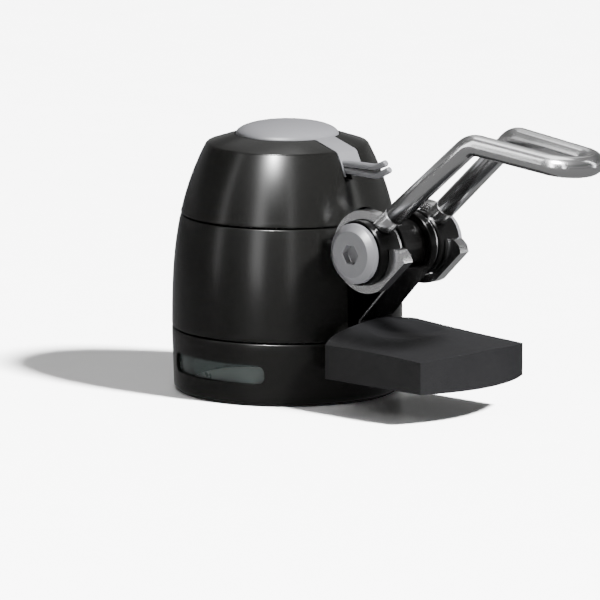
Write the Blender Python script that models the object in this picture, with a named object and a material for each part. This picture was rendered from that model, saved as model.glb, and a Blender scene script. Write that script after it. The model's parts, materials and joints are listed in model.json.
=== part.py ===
"""Lever corkscrew: a barrel that stands over a bottle neck, with a bail lever and a hand paddle on its side.

Metres, +Z up. The part stands on z = 0 and its origin is the middle of its footprint box, so the
barrel's axis lies at x = BARREL_X. Every sub-part is placed from that axis through parent empties,
and each moving group hangs from an empty on its own joint axis.

Swinging the bail lever up and over the barrel turns the axle. A dog-leg drive arm on the axle
carries a pin that runs in a fork of the worm carriage, so the carriage slides down its two rods. A
fixed pin in the worm nut lies between two turns of the worm, so the worm spins as it goes down into
the cork. Pulling the lever back down towards the paddle draws the worm up again.
"""

import math

import bmesh
import bpy
from mathutils import Matrix, Vector

MM = 0.001
GAP = 0.3 * MM                       # between pieces that rest on or pass through each other
BARREL_STEPS = 36                    # sides of the barrel's shells and plates
RING_STEPS = 24
SMALL_STEPS = 14
SCREW_STEPS = 8
DOME_STEPS = 8

# Barrel: a shallow bulge low down, drawn in towards the shoulder.
FOOT_HEIGHT = 0.7 * MM
BASE_BOTTOM = 1.0 * MM
FOOT_RADIUS = 38.9 * MM
WIDEST_RADIUS = 39.6 * MM
WIDEST_Z = 20.0 * MM
LOWER_SEAM_Z = 21.9 * MM
UPPER_SEAM_Z = 60.9 * MM
SEAM = 0.4 * MM
SHOULDER_RADIUS = 27.7 * MM
SHOULDER_Z = 85.3 * MM
DRAW_IN = 2.9                        # power of the curve that draws the barrel in
WALL = 2.5 * MM
CAP_HOLE_RADIUS = 18.0 * MM
CAP_HOLE_Z = 88.3 * MM

# Bottle neck guide, nut and deck in the base.
NECK_RADIUS = 15.6 * MM
GUIDE_RADIUS = 17.6 * MM
GUIDE_TOP = 24.0 * MM
GRIP_RADIUS = 14.3 * MM
DECK_BOTTOM = 22.3 * MM
DECK_TOP = 24.0 * MM
NUT_BOTTOM = 24.3 * MM
NUT_TOP = 28.3 * MM

# Sight window in the base, facing -Y.
WINDOW_HALF_LENGTH = 20.6 * MM
WINDOW_LOW = 7.6 * MM
WINDOW_HIGH = 14.3 * MM
WINDOW_CORNER = 2.6 * MM

# Inner frame.
ROD_Y = 20.5 * MM
ROD_RADIUS = 2.0 * MM
TOP_PLATE_BOTTOM = 79.6 * MM
TOP_PLATE_TOP = 81.0 * MM
TOP_PLATE_RADIUS = 24.0 * MM
DECK_SCREWS = 3
DECK_SCREW_CIRCLE = 26.5 * MM

# Pocket in the sleeve that the axle's lug stands out of.
POCKET_HALF_WIDTH = 10.5 * MM
POCKET_LOW = 24.8 * MM
ARCH_TOP = 66.5 * MM

# Hub: the axle runs along Y, outside the barrel.
HUB_X = 50.9 * MM
HUB_Z = 54.9 * MM
AXLE_RADIUS = 3.5 * MM
LUG_RADIUS = 8.9 * MM
LUG_HALF_WIDTH = 4.8 * MM
LUG_SLOT = 2.4 * MM                  # half the width of the slot that the drive arm swings in
KNUCKLE_RADIUS = 11.35 * MM
KNUCKLE_IN = 5.1 * MM
KNUCKLE_OUT = 8.0 * MM
WASHER_IN = 8.3 * MM
WASHER_OUT = 9.5 * MM
CLAW_IN = 12.0 * MM
CLAW_OUT = 16.3 * MM
CLAW_INNER_RADIUS = 11.4 * MM
SOCKET_ANGLE = 41
HOOK_ANGLE = 300
HOOK_NOSE = ((18.2, -1.8), (17.4, 0.6), (15.6, 2.2), (13.6, 2.6), (11.5, 2.1))  # from the hub, in mm
CLAW_OUTER_RADIUS = 14.2 * MM
BOSS_RADIUS = CLAW_INNER_RADIUS - GAP
BOSS_IN = 9.8 * MM
BOSS_OUT = 19.8 * MM
CAP_IN = 20.1 * MM
CAP_BAND = 21.4 * MM
CAP_FACE = 23.4 * MM
CAP_RADIUS = 10.5 * MM
CAP_FACE_RADIUS = 8.1 * MM
HEX_ACROSS = 6.8 * MM
HEX_DEPTH = 2.6 * MM
AXLE_BORE = 2.3 * MM
AXLE_BORE_END = 9.5 * MM

# Bail lever of round rod, at rest 41 degrees above level.
BAIL_RADIUS = 3.8 * MM
ARM_ROOT = Vector((61.5, 13.1, 67.8)) * MM
ARM_BEND = Vector((94.3, 10.9, 96.0)) * MM
BAIL_END = Vector((128.0, 9.3, 92.6)) * MM
BEND_RADIUS = 8.0 * MM

# The origin lies midway between the barrel's far side and the bail's end.
BARREL_X = (WIDEST_RADIUS - BAIL_END.x - BAIL_END.y - BAIL_RADIUS) / 2

# Drive arm and the fork that its pin runs in.
DRIVE_LENGTH = 32.0 * MM
DRIVE_ANGLE = 36.5                   # degrees above level at rest, and as much below at full swing
ELBOW_LENGTH = 19.5 * MM
ELBOW_ANGLE = 10.0
DRIVE_HALF_WIDTH = 2.6 * MM
DRIVE_THICKNESS = 2.0 * MM
PIN_RADIUS = 2.0 * MM
PIN_Z = HUB_Z + DRIVE_LENGTH * math.sin(math.radians(DRIVE_ANGLE))

# Worm carriage, and the worm that turns in it.
CARRIAGE_RADIUS = 14.0 * MM
CARRIAGE_LOW = 72.0 * MM
CARRIAGE_HIGH = 76.8 * MM
FORK_END = 26.4 * MM
FORK_IN = 3.0 * MM
FORK_OUT = 5.8 * MM
FORK_HALF_GAP = 2.85 * MM
FORK_HALF_HEIGHT = 4.6 * MM
WORM_RADIUS = 3.4 * MM
WORM_WIRE = 1.5 * MM
WORM_PITCH = 9.0 * MM
WORM_TIP = 25.2 * MM
WORM_TOP = 64.0 * MM
SHANK_RADIUS = 2.5 * MM

# Hinge leaf and paddle.
LEAF_ANGLE = 46.0                    # slope of the plate, degrees from level
LEAF_THICKNESS = 1.2 * MM
PADDLE_BACK = 41.7 * MM
PADDLE_HALF_WIDTH = 25.8 * MM
PADDLE_BOTTOM = 11.5 * MM
PADDLE_END_CENTRE = 43.0 * MM
PADDLE_END_RADIUS = 49.5 * MM
PADDLE_CREST_BACK = 28.9 * MM
PADDLE_CREST_END = 24.4 * MM
DISH_X = 56.0 * MM
DISH_HALF_LENGTH = 13.0 * MM
DISH_HALF_WIDTH = 14.4 * MM
DISH_DEPTH = 1.9 * MM
PADDLE_SCREWS_Y = (-4.5 * MM, 4.5 * MM)
PADDLE_SCREWS_Z = 19.0 * MM
PADDLE_SCREW_HEAD = 2.2 * MM

# Release cap: dome, strip down the shoulder, and two prongs.
DOME_RADIUS = 17.7 * MM
DOME_EDGE_Z = 88.4 * MM
DOME_TOP = 93.2 * MM
DOME_UNDER = 86.6 * MM
STRIP_HALF_WIDTH = 4.8 * MM
STRIP_THICKNESS = 1.7 * MM
STRIP_LOW = 80.6 * MM
FANG_LOW = 77.0 * MM
FANG_WIDTH = 2.8 * MM
CAP_TRAVEL = 1.5 * MM
STEM_LOW = 80.4 * MM
NUT_PIN_RADIUS = 0.9 * MM
STEM_RADIUS = 2.4 * MM
PRONG_RADIUS = 1.15 * MM
PRONG_Y = -3.1
PRONG_ROUTES = (
    ((30.3, 81.3), (44.2, 82.1), (48.9, 84.3)),
    ((31.2, 78.7), (44.2, 79.1), (51.2, 82.2)),
)


def clear_scene():
    for old in list(bpy.data.objects):
        bpy.data.objects.remove(old, do_unlink=True)


def material(name, colour, roughness, metallic=0.0, transmission=0.0):
    made = bpy.data.materials.new(name)
    made.use_nodes = True
    shader = made.node_tree.nodes["Principled BSDF"]
    shader.inputs["Base Color"].default_value = (*colour, 1.0)
    shader.inputs["Roughness"].default_value = roughness
    shader.inputs["Metallic"].default_value = metallic
    shader.inputs["Transmission Weight"].default_value = transmission
    return made


def empty(name, place, parent=None):
    """An empty that carries a group. Places are given from the barrel's foot, on its axis."""
    made = bpy.data.objects.new(name, None)
    made.empty_display_size = 10 * MM
    bpy.context.scene.collection.objects.link(made)
    made.parent = parent
    made.location = Vector(place) - Vector(parent["place"] if parent else (0, 0, 0))
    made["place"] = tuple(place)
    return made


def add(name, data, look, parent):
    """Links data drawn from the barrel's foot as an object whose own origin is its parent's."""
    made = bpy.data.objects.new(name, data)
    bpy.context.scene.collection.objects.link(made)
    offset = Matrix.Translation(-Vector(parent["place"]))
    data.transform(offset)
    made.parent = parent
    if look:
        data.materials.append(look)
    return made


def mesh_object(name, bm, look, parent, sharp_degrees=32):
    bmesh.ops.remove_doubles(bm, verts=bm.verts, dist=0.001 * MM)
    bmesh.ops.recalc_face_normals(bm, faces=bm.faces)
    mesh = bpy.data.meshes.new(name)
    bm.to_mesh(mesh)
    bm.free()
    mesh.shade_smooth()
    mesh.set_sharp_from_angle(angle=math.radians(sharp_degrees))
    return add(name, mesh, look, parent)


def hide(helper):
    helper.hide_render = True
    helper.display_type = "WIRE"
    return helper


def combine(target, helper, operation):
    modifier = target.modifiers.new(f"{operation}_{helper.name}", "BOOLEAN")
    modifier.operation = operation
    modifier.solver = "EXACT"
    modifier.object = hide(helper)
    return target


def cut(target, *helpers):
    for helper in helpers:
        combine(target, helper, "DIFFERENCE")
    return target


def unite(target, *helpers):
    for helper in helpers:
        combine(target, helper, "UNION")
    return target


def revolved(profile, steps, centre=(0, 0, 0), axis="Z"):
    """A closed outline of (radius, height) points, spun about the axis through centre."""
    bm = bmesh.new()
    points = [bm.verts.new((radius, 0, height)) for radius, height in profile]
    edges = [bm.edges.new((points[i - 1], points[i])) for i in range(len(points))]
    bmesh.ops.spin(bm, geom=points + edges, cent=(0, 0, 0), axis=(0, 0, 1),
                   angle=math.tau, steps=steps, use_merge=True)
    bmesh.ops.remove_doubles(bm, verts=bm.verts, dist=0.001 * MM)
    on_axis = [edge for edge in bm.edges if not edge.link_faces]
    bmesh.ops.delete(bm, geom=on_axis, context="EDGES")
    if axis == "Y":
        bm.transform(Matrix.Rotation(-math.pi / 2, 4, "X"))
    bm.transform(Matrix.Translation(Vector(centre)))
    return bm


def ring_profile(inner, outer, low, high):
    return [(inner, low), (outer, low), (outer, high), (inner, high)]


def ring(name, inner, outer, low, high, look, parent, steps=RING_STEPS, centre=(0, 0), axis="Z"):
    """A plain ring or, with inner 0, a disc. On axis Y, low and high are along Y."""
    place = (centre[0], centre[1], 0) if axis == "Z" else (centre[0], 0, centre[1])
    if inner:
        bm = revolved(ring_profile(inner, outer, low, high), steps, place, axis)
    else:
        bm = bmesh.new()
        turn = Matrix.Rotation(-math.pi / 2, 4, "X") if axis == "Y" else Matrix()
        move = Matrix.Translation(place) @ turn @ Matrix.Translation((0, 0, (low + high) / 2))
        bmesh.ops.create_cone(bm, cap_ends=True, segments=steps, radius1=outer, radius2=outer,
                              depth=high - low, matrix=move)
    return mesh_object(name, bm, look, parent)


def prism(name, outline, low, high, look, parent, axis="Y", sharp_degrees=32):
    """An outline extruded from low to high: (x, z) points along Y, or (x, y) points along Z."""
    bm = bmesh.new()
    if axis == "Y":
        points = [bm.verts.new((a, low, b)) for a, b in outline]
        way = Vector((0, high - low, 0))
    else:
        points = [bm.verts.new((a, b, low)) for a, b in outline]
        way = Vector((0, 0, high - low))
    face = bm.faces.new(points)
    new = bmesh.ops.extrude_face_region(bm, geom=[face])["geom"]
    bmesh.ops.translate(bm, vec=way, verts=[v for v in new if isinstance(v, bmesh.types.BMVert)])
    return mesh_object(name, bm, look, parent, sharp_degrees)


def block(name, low, high, look, parent):
    outline = [(low[0], low[2]), (high[0], low[2]), (high[0], high[2]), (low[0], high[2])]
    return prism(name, outline, low[1], high[1], look, parent)


def arc(centre, radius, start, end, steps):
    """Points on an arc, angles in degrees from +X towards the second axis."""
    turns = [math.radians(start + (end - start) * i / steps) for i in range(steps + 1)]
    return [(centre[0] + radius * math.cos(t), centre[1] + radius * math.sin(t)) for t in turns]


def rounded_outline(half_length, low, high, corner, steps=5):
    """A rounded rectangle in x and z."""
    centres = ((half_length - corner, high - corner, 0), (corner - half_length, high - corner, 90),
               (corner - half_length, low + corner, 180), (half_length - corner, low + corner, 270))
    return [p for x, z, start in centres for p in arc((x, z), corner, start, start + 90, steps)]


def rod_curve(name, points, radius, look, parent, resolution=4, radii=None):
    """A round rod along a list of points, with closed ends."""
    data = bpy.data.curves.new(name, "CURVE")
    data.dimensions = "3D"
    data.bevel_depth = radius
    data.bevel_resolution = resolution
    data.use_fill_caps = True
    spline = data.splines.new("POLY")
    spline.points.add(len(points) - 1)
    for i, point in enumerate(points):
        spline.points[i].co = (*point, 1)
        spline.points[i].radius = radii[i] if radii else 1
    spline.use_smooth = True
    return add(name, data, look, parent)


def fillet(before, corner, after, radius, steps):
    """Points on the arc that rounds a corner between two straight runs."""
    to_before = (before - corner).normalized()
    to_after = (after - corner).normalized()
    half = to_before.angle(to_after) / 2
    middle = corner + (to_before + to_after).normalized() * (radius / math.sin(half))
    reach = radius / math.tan(half)
    first = corner + to_before * reach - middle
    last = corner + to_after * reach - middle
    sweep = first.angle(last)
    return [middle + (first * math.sin(sweep * (1 - i / steps)) + last * math.sin(sweep * i / steps))
            / math.sin(sweep) for i in range(steps + 1)]


def barrel_radius(z):
    """Outer radius of the barrel at a height."""
    if z <= WIDEST_Z:
        return FOOT_RADIUS + (WIDEST_RADIUS - FOOT_RADIUS) * z / WIDEST_Z
    share = (z - WIDEST_Z) / (SHOULDER_Z - WIDEST_Z)
    return WIDEST_RADIUS - (WIDEST_RADIUS - SHOULDER_RADIUS) * share ** DRAW_IN


def barrel_side(low, high, steps, inset=0.0):
    heights = [low + (high - low) * i / steps for i in range(steps + 1)]
    return [(barrel_radius(z) - inset, z) for z in heights]


def make_looks():
    return {
        "black": material("gloss_black", (0.012, 0.012, 0.012), 0.18),
        "grey": material("light_grey_plastic", (0.42, 0.42, 0.44), 0.45),
        "chrome": material("polished_chrome", (0.80, 0.80, 0.81), 0.08, 1.0),
        "paddle": material("charcoal_plastic", (0.035, 0.035, 0.037), 0.55),
        "inner": material("dark_moulding", (0.05, 0.05, 0.052), 0.5),
        "steel": material("bright_steel", (0.62, 0.62, 0.63), 0.25, 1.0),
        "rubber": material("black_rubber", (0.02, 0.02, 0.02), 0.8),
        "window": material("grey_green_window", (0.45, 0.52, 0.50), 0.2, 0.0, 0.7),
        "bronze": material("bush_bronze", (0.55, 0.38, 0.18), 0.35, 1.0),
    }


def make_base(looks, body):
    """The base ring with its floor and sight window, and the rubber foot under it."""
    top = LOWER_SEAM_Z - SEAM / 2
    chamfer = 0.35 * MM
    floor_top = BASE_BOTTOM + 2.4 * MM
    inside = FOOT_RADIUS - WALL
    profile = [(GUIDE_RADIUS + GAP, BASE_BOTTOM), (FOOT_RADIUS - chamfer, BASE_BOTTOM)]
    profile += barrel_side(BASE_BOTTOM + chamfer, top - chamfer, 3)
    profile += [(barrel_radius(top) - chamfer, top), (inside, top), (inside, floor_top)]
    profile += [(GUIDE_RADIUS + GAP, floor_top)]
    base = mesh_object("base_ring", revolved(profile, BARREL_STEPS), looks["black"], body)
    outline = rounded_outline(WINDOW_HALF_LENGTH, WINDOW_LOW, WINDOW_HIGH, WINDOW_CORNER)
    slot = prism("cut_window", outline, -FOOT_RADIUS - 3 * MM, -25 * MM, None, body)
    cut(base, slot)
    pane = ring("sight_window", inside + GAP, FOOT_RADIUS - 0.6 * MM, WINDOW_LOW - 2 * MM,
                WINDOW_HIGH + 2 * MM, looks["window"], body, steps=BARREL_STEPS)
    inner_outline = rounded_outline(WINDOW_HALF_LENGTH - GAP, WINDOW_LOW + GAP,
                                    WINDOW_HIGH - GAP, WINDOW_CORNER - GAP)
    keep = prism("keep_window", inner_outline, -FOOT_RADIUS - 3 * MM, -25 * MM, None, body)
    combine(pane, keep, "INTERSECT")
    ring("foot_ring", FOOT_RADIUS - 5 * MM, FOOT_RADIUS - 1.2 * MM, 0, FOOT_HEIGHT,
         looks["rubber"], body, steps=BARREL_STEPS)


def make_sleeve(looks, body):
    """The middle sleeve, with the pocket that the axle's lug stands out of."""
    low = LOWER_SEAM_Z + SEAM / 2
    high = UPPER_SEAM_Z - SEAM / 2
    chamfer = 0.35 * MM
    profile = [(barrel_radius(low) - WALL, low), (barrel_radius(low) - chamfer, low)]
    profile += barrel_side(low + chamfer, high - chamfer, 5)
    profile += [(barrel_radius(high) - chamfer, high), (barrel_radius(high) - WALL, high)]
    profile += [(radius - WALL, z) for radius, z in reversed(barrel_side(low + 4 * MM, high - 4 * MM, 2))]
    sleeve = mesh_object("middle_sleeve", revolved(profile, BARREL_STEPS), looks["black"], body)
    pocket = block("cut_pocket", (25 * MM, -POCKET_HALF_WIDTH, POCKET_LOW),
                   (45 * MM, POCKET_HALF_WIDTH, high + 5 * MM), None, body)
    cut(sleeve, pocket)


def make_hood(looks, body):
    """The hood, with the round hole for the dome and the slot for the strip."""
    low = UPPER_SEAM_Z + SEAM / 2
    chamfer = 0.35 * MM
    profile = [(barrel_radius(low) - WALL, low), (barrel_radius(low) - chamfer, low)]
    profile += barrel_side(low + chamfer, SHOULDER_Z - 0.8 * MM, 6)
    profile += [(SHOULDER_RADIUS - 0.9 * MM, SHOULDER_Z), (CAP_HOLE_RADIUS, CAP_HOLE_Z)]
    profile += [(CAP_HOLE_RADIUS, CAP_HOLE_Z - 2 * MM)]
    profile += [(SHOULDER_RADIUS - 3.4 * MM, SHOULDER_Z - 2 * MM)]
    profile += [(radius - WALL, z) for radius, z in reversed(barrel_side(low + 6 * MM, 80 * MM, 2))]
    hood = mesh_object("upper_hood", revolved(profile, BARREL_STEPS), looks["black"], body)
    slot_half = STRIP_HALF_WIDTH + GAP
    slot = block("cut_strip", (CAP_HOLE_RADIUS - 4 * MM, -slot_half, FANG_LOW - CAP_TRAVEL - GAP),
                 (40 * MM, slot_half, 95 * MM), None, body)
    middle = ARCH_TOP - POCKET_HALF_WIDTH
    outline = arc((0, middle), POCKET_HALF_WIDTH, 0, 180, 12)
    arch = prism("cut_arch", outline, 25 * MM, 45 * MM, None, body)
    arch.data.transform(Matrix.Rotation(-math.pi / 2, 4, "Z"))
    cut(hood, slot, arch)


def make_neck(looks, body):
    """Neck guide, its rubber grip, the worm nut over it and the pin that turns the worm."""
    flare = 1.0 * MM
    profile = [(NECK_RADIUS + flare, BASE_BOTTOM), (GUIDE_RADIUS, BASE_BOTTOM)]
    profile += [(GUIDE_RADIUS, 18.5 * MM), (20.5 * MM, 18.5 * MM), (20.5 * MM, 20.5 * MM)]
    profile += [(GUIDE_RADIUS, 20.5 * MM), (GUIDE_RADIUS, GUIDE_TOP), (NECK_RADIUS, GUIDE_TOP)]
    profile += [(NECK_RADIUS, BASE_BOTTOM + flare)]
    mesh_object("neck_guide", revolved(profile, RING_STEPS), looks["inner"], body)
    low = 4 * MM
    high = 13 * MM
    lead = 0.6 * MM
    profile = [(GRIP_RADIUS + lead, low), (NECK_RADIUS - GAP, low), (NECK_RADIUS - GAP, high)]
    profile += [(GRIP_RADIUS + lead, high), (GRIP_RADIUS, high - lead), (GRIP_RADIUS, low + lead)]
    mesh_object("neck_grip", revolved(profile, RING_STEPS), looks["rubber"], body)
    nut_hole = WORM_RADIUS + WORM_WIRE + 0.6 * MM
    nut = ring("worm_nut", nut_hole, GUIDE_RADIUS, NUT_BOTTOM, NUT_TOP, looks["steel"], body)
    pin_z = (NUT_BOTTOM + NUT_TOP) / 2
    hole = ring("cut_nut_pin", 0, NUT_PIN_RADIUS + GAP, -GUIDE_RADIUS - 2 * MM, 0, None, body,
                SCREW_STEPS, (0, pin_z), "Y")
    cut(nut, hole)
    ring("nut_pin", 0, NUT_PIN_RADIUS, -GUIDE_RADIUS + 1 * MM, -2.2 * MM, looks["steel"], body, 16,
         (0, pin_z), "Y")


def make_frame(looks, body):
    """Deck, guide rods, top plate and the screws that hold them."""
    deck = ring("deck_plate", GUIDE_RADIUS + GAP, 35.6 * MM, DECK_BOTTOM, DECK_TOP, looks["steel"],
                body, BARREL_STEPS)
    top = ring("top_plate", 3.2 * MM, TOP_PLATE_RADIUS, TOP_PLATE_BOTTOM, TOP_PLATE_TOP,
               looks["steel"], body, BARREL_STEPS)
    shank = 1.5 * MM
    for side, word in ((-1, "right"), (1, "left")):
        y = side * ROD_Y
        ring(f"guide_rod_{word}", 0, ROD_RADIUS, DECK_TOP + GAP, TOP_PLATE_BOTTOM - GAP,
             looks["steel"], body, SMALL_STEPS, (0, y))
        cut(top, ring(f"cut_top_{word}", 0, shank + GAP, 78 * MM, 84 * MM, None, body,
                      SCREW_STEPS, (0, y)))
        profile = screw_profile(TOP_PLATE_BOTTOM + GAP / 2, TOP_PLATE_TOP + GAP)
        screw = revolved(profile, SCREW_STEPS, (0, y, 0))
        mesh_object(f"rod_screw_{word}", screw, looks["steel"], body)
    for number in range(DECK_SCREWS):
        turn = math.radians(60 + 360 * number / DECK_SCREWS)
        place = (DECK_SCREW_CIRCLE * math.cos(turn), DECK_SCREW_CIRCLE * math.sin(turn))
        cut(deck, ring(f"cut_deck_{number}", 0, shank + GAP, 20 * MM, 26 * MM, None, body,
                       SCREW_STEPS, place))
        screw = revolved(screw_profile(BASE_BOTTOM + 3 * MM, DECK_TOP + GAP), SCREW_STEPS, (*place, 0))
        mesh_object(f"deck_screw_{number + 1}", screw, looks["steel"], body)


def screw_profile(end, seat):
    """A pan-head screw that stands head up on seat, with its shank down to end."""
    head = 2.7 * MM
    shank = 1.5 * MM
    return [(0, end), (shank, end), (shank, seat), (head, seat), (head, seat + 1.0 * MM),
            (head - 0.6 * MM, seat + 1.6 * MM), (0, seat + 1.6 * MM)]


def make_lug(looks, body):
    """The lug that carries the axle, on a pad behind the pocket."""
    pad_in = 31.4 * MM
    pad_out = 33.4 * MM
    low = 28 * MM
    high = 57 * MM
    half = 30
    outline = arc((0, 0), pad_out, -half, half, 14) + arc((0, 0), pad_in, half, -half, 14)
    lug = prism("axle_lug", outline, low, high, looks["black"], body, "Z")
    web_half = LUG_HALF_WIDTH - 0.3 * MM
    web = block("add_lug_web", (32.4 * MM, -web_half, HUB_Z - 7.6 * MM),
                (HUB_X - 1 * MM, web_half, HUB_Z + 5.4 * MM), None, body)
    eye = ring("add_lug_eye", 0, LUG_RADIUS, -LUG_HALF_WIDTH, LUG_HALF_WIDTH, None, body, RING_STEPS,
               (HUB_X, HUB_Z), "Y")
    slot = block("cut_lug_slot", (25 * MM, -LUG_SLOT, low - 1 * MM), (HUB_X, LUG_SLOT, 70 * MM),
                 None, body)
    seat_half = LUG_SLOT + 0.1 * MM
    seat = ring("cut_lug_seat", 0, 6.4 * MM, -seat_half, seat_half, None, body, SMALL_STEPS,
                (HUB_X, HUB_Z), "Y")
    bore = ring("cut_lug_bore", 0, AXLE_RADIUS + GAP, -20 * MM, 20 * MM, None, body, SMALL_STEPS,
                (HUB_X, HUB_Z), "Y")
    unite(lug, web, eye)
    cut(lug, slot, seat, bore)
    places = [(y, z) for y in (-13.6 * MM, 13.6 * MM) for z in (31.5 * MM, 51 * MM)]
    lug_screws(lug, places, looks, body)


def lug_screws(lug, places, looks, body):
    """Screws that fasten the lug's pad, head inwards."""
    end = 33.6 * MM
    head_in = 29.6 * MM
    head_out = 31.1 * MM
    for number, (y, z) in enumerate(places):
        turn = Matrix.Rotation(math.asin(y / end), 4, "Z")
        move = Matrix.Translation((0, 0, z)) @ turn @ Matrix.Rotation(math.pi / 2, 4, "Y")
        screw = revolved([(0, head_in), (2.6 * MM, head_in), (2.6 * MM, head_out), (1.3 * MM, head_out),
                          (1.3 * MM, end), (0, end)], SCREW_STEPS)
        screw.transform(move)
        mesh_object(f"lug_screw_{number + 1}", screw, looks["steel"], body)
        drill = revolved(ring_profile(0, 1.6 * MM, 28 * MM, 36 * MM), SCREW_STEPS)
        drill.transform(move)
        cut(lug, mesh_object(f"cut_lug_screw_{number}", drill, None, body))


def claw_outline():
    """C-shaped claw, open between the arm's socket above and the hook's straight nose below."""
    hub = (HUB_X, HUB_Z)
    back = arc(hub, CLAW_OUTER_RADIUS, SOCKET_ANGLE, HOOK_ANGLE, 22)
    nose = [(HUB_X + x * MM, HUB_Z + z * MM) for x, z in HOOK_NOSE]
    bore = arc(hub, CLAW_INNER_RADIUS, -15, SOCKET_ANGLE - 360, 24)
    return back + nose + bore


def make_claws(looks, body):
    """The two C-shaped claws, each with the socket that the bail's arm ends in."""
    for side, word in ((-1, "right"), (1, "left")):
        low, high = sorted((side * CLAW_IN, side * CLAW_OUT))
        claw = prism(f"claw_{word}", claw_outline(), low, high, looks["chrome"], body)
        along = (ARM_BEND - ARM_ROOT).normalized()
        slope = math.degrees(math.atan2(along.z, along.x))
        start = (ARM_ROOT.x - GAP * along.x, ARM_ROOT.z - GAP * along.z)
        across = (-along.z * 3.3 * MM, along.x * 3.3 * MM)
        back = (start[0] - along.x * 6.2 * MM, start[1] - along.z * 6.2 * MM)
        outline = [(start[0] + across[0], start[1] + across[1]), (back[0] + across[0], back[1] + across[1]),
                   (back[0] - across[0], back[1] - across[1]), (start[0] - across[0], start[1] - across[1])]
        socket = prism(f"add_socket_{word}", outline, low, high, None, body)
        bore = ring(f"cut_claw_{word}", 0, CLAW_INNER_RADIUS, low - 1 * MM, high + 1 * MM, None, body,
                    48, (HUB_X, HUB_Z), "Y")
        unite(claw, socket)
        cut(claw, bore)


def make_bail(looks, body):
    """The bail: two arms, a bend in each, and a round end."""
    near_root, near_bend, near_end = (Vector((p.x, -p.y, p.z)) for p in (ARM_ROOT, ARM_BEND, BAIL_END))
    run = (BAIL_END - ARM_BEND).normalized()
    outward = Vector((run.x, 0, run.z)).normalized()
    side = Vector((0, BAIL_END.y, 0))
    middle = near_end + side
    turn = [middle - side * math.cos(math.pi * i / 14) + outward * BAIL_END.y * math.sin(math.pi * i / 14)
            for i in range(15)]
    points = [near_root] + fillet(near_root, near_bend, near_end, BEND_RADIUS, 7) + turn
    points += list(reversed(fillet(ARM_ROOT, ARM_BEND, BAIL_END, BEND_RADIUS, 7))) + [ARM_ROOT]
    rod_curve("bail_handle", points, BAIL_RADIUS, looks["chrome"], body, 3)


def make_hub(looks, body):
    """The axle and what is fixed on it: bosses, washers and the capped end screws."""
    hub = (HUB_X, HUB_Z)
    profile = [(0, -AXLE_BORE_END), (AXLE_BORE, -AXLE_BORE_END), (AXLE_BORE, -BOSS_OUT),
               (AXLE_RADIUS, -BOSS_OUT), (AXLE_RADIUS, BOSS_OUT), (AXLE_BORE, BOSS_OUT),
               (AXLE_BORE, AXLE_BORE_END), (0, AXLE_BORE_END)]
    axle = revolved(profile, SMALL_STEPS, (HUB_X, 0, HUB_Z), "Y")
    mesh_object("axle", axle, looks["steel"], body)
    for side, word in ((-1, "right"), (1, "left")):
        boss_low, boss_high = sorted((side * BOSS_IN, side * BOSS_OUT))
        ring(f"hub_boss_{word}", AXLE_RADIUS + GAP, BOSS_RADIUS, boss_low, boss_high, looks["black"],
             body, RING_STEPS, hub, "Y")
        washer_low, washer_high = sorted((side * WASHER_IN, side * WASHER_OUT))
        ring(f"hub_washer_{word}", AXLE_RADIUS + GAP, 10.4 * MM, washer_low, washer_high,
             looks["steel"], body, RING_STEPS, hub, "Y")
        end_screw(f"end_screw_{word}", side, looks, body)


def end_screw(name, side, looks, body):
    """A wide button-headed screw with a hexagon socket, in the end of the axle."""
    shank = AXLE_BORE - GAP
    profile = [(0, AXLE_BORE_END + 1 * MM), (shank, AXLE_BORE_END + 1 * MM), (shank, CAP_IN)]
    profile += [(CAP_RADIUS, CAP_IN), (CAP_RADIUS, CAP_BAND)]
    profile += [(CAP_RADIUS - 0.7 * MM, CAP_BAND + 1.2 * MM), (CAP_FACE_RADIUS, CAP_FACE), (0, CAP_FACE)]
    head = revolved(profile, RING_STEPS)
    corner = HEX_ACROSS / math.sqrt(3)
    socket = bmesh.new()
    bmesh.ops.create_cone(socket, cap_ends=True, segments=6, radius1=corner, radius2=corner,
                          depth=2 * HEX_DEPTH, matrix=Matrix.Translation((0, 0, CAP_FACE)))
    place = Matrix.Translation((HUB_X, 0, HUB_Z)) @ Matrix.Rotation(side * -math.pi / 2, 4, "X")
    head.transform(place)
    socket.transform(place)
    screw = mesh_object(name, head, looks["grey"], body)
    cut(screw, mesh_object(f"cut_{name}", socket, None, body))


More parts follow.
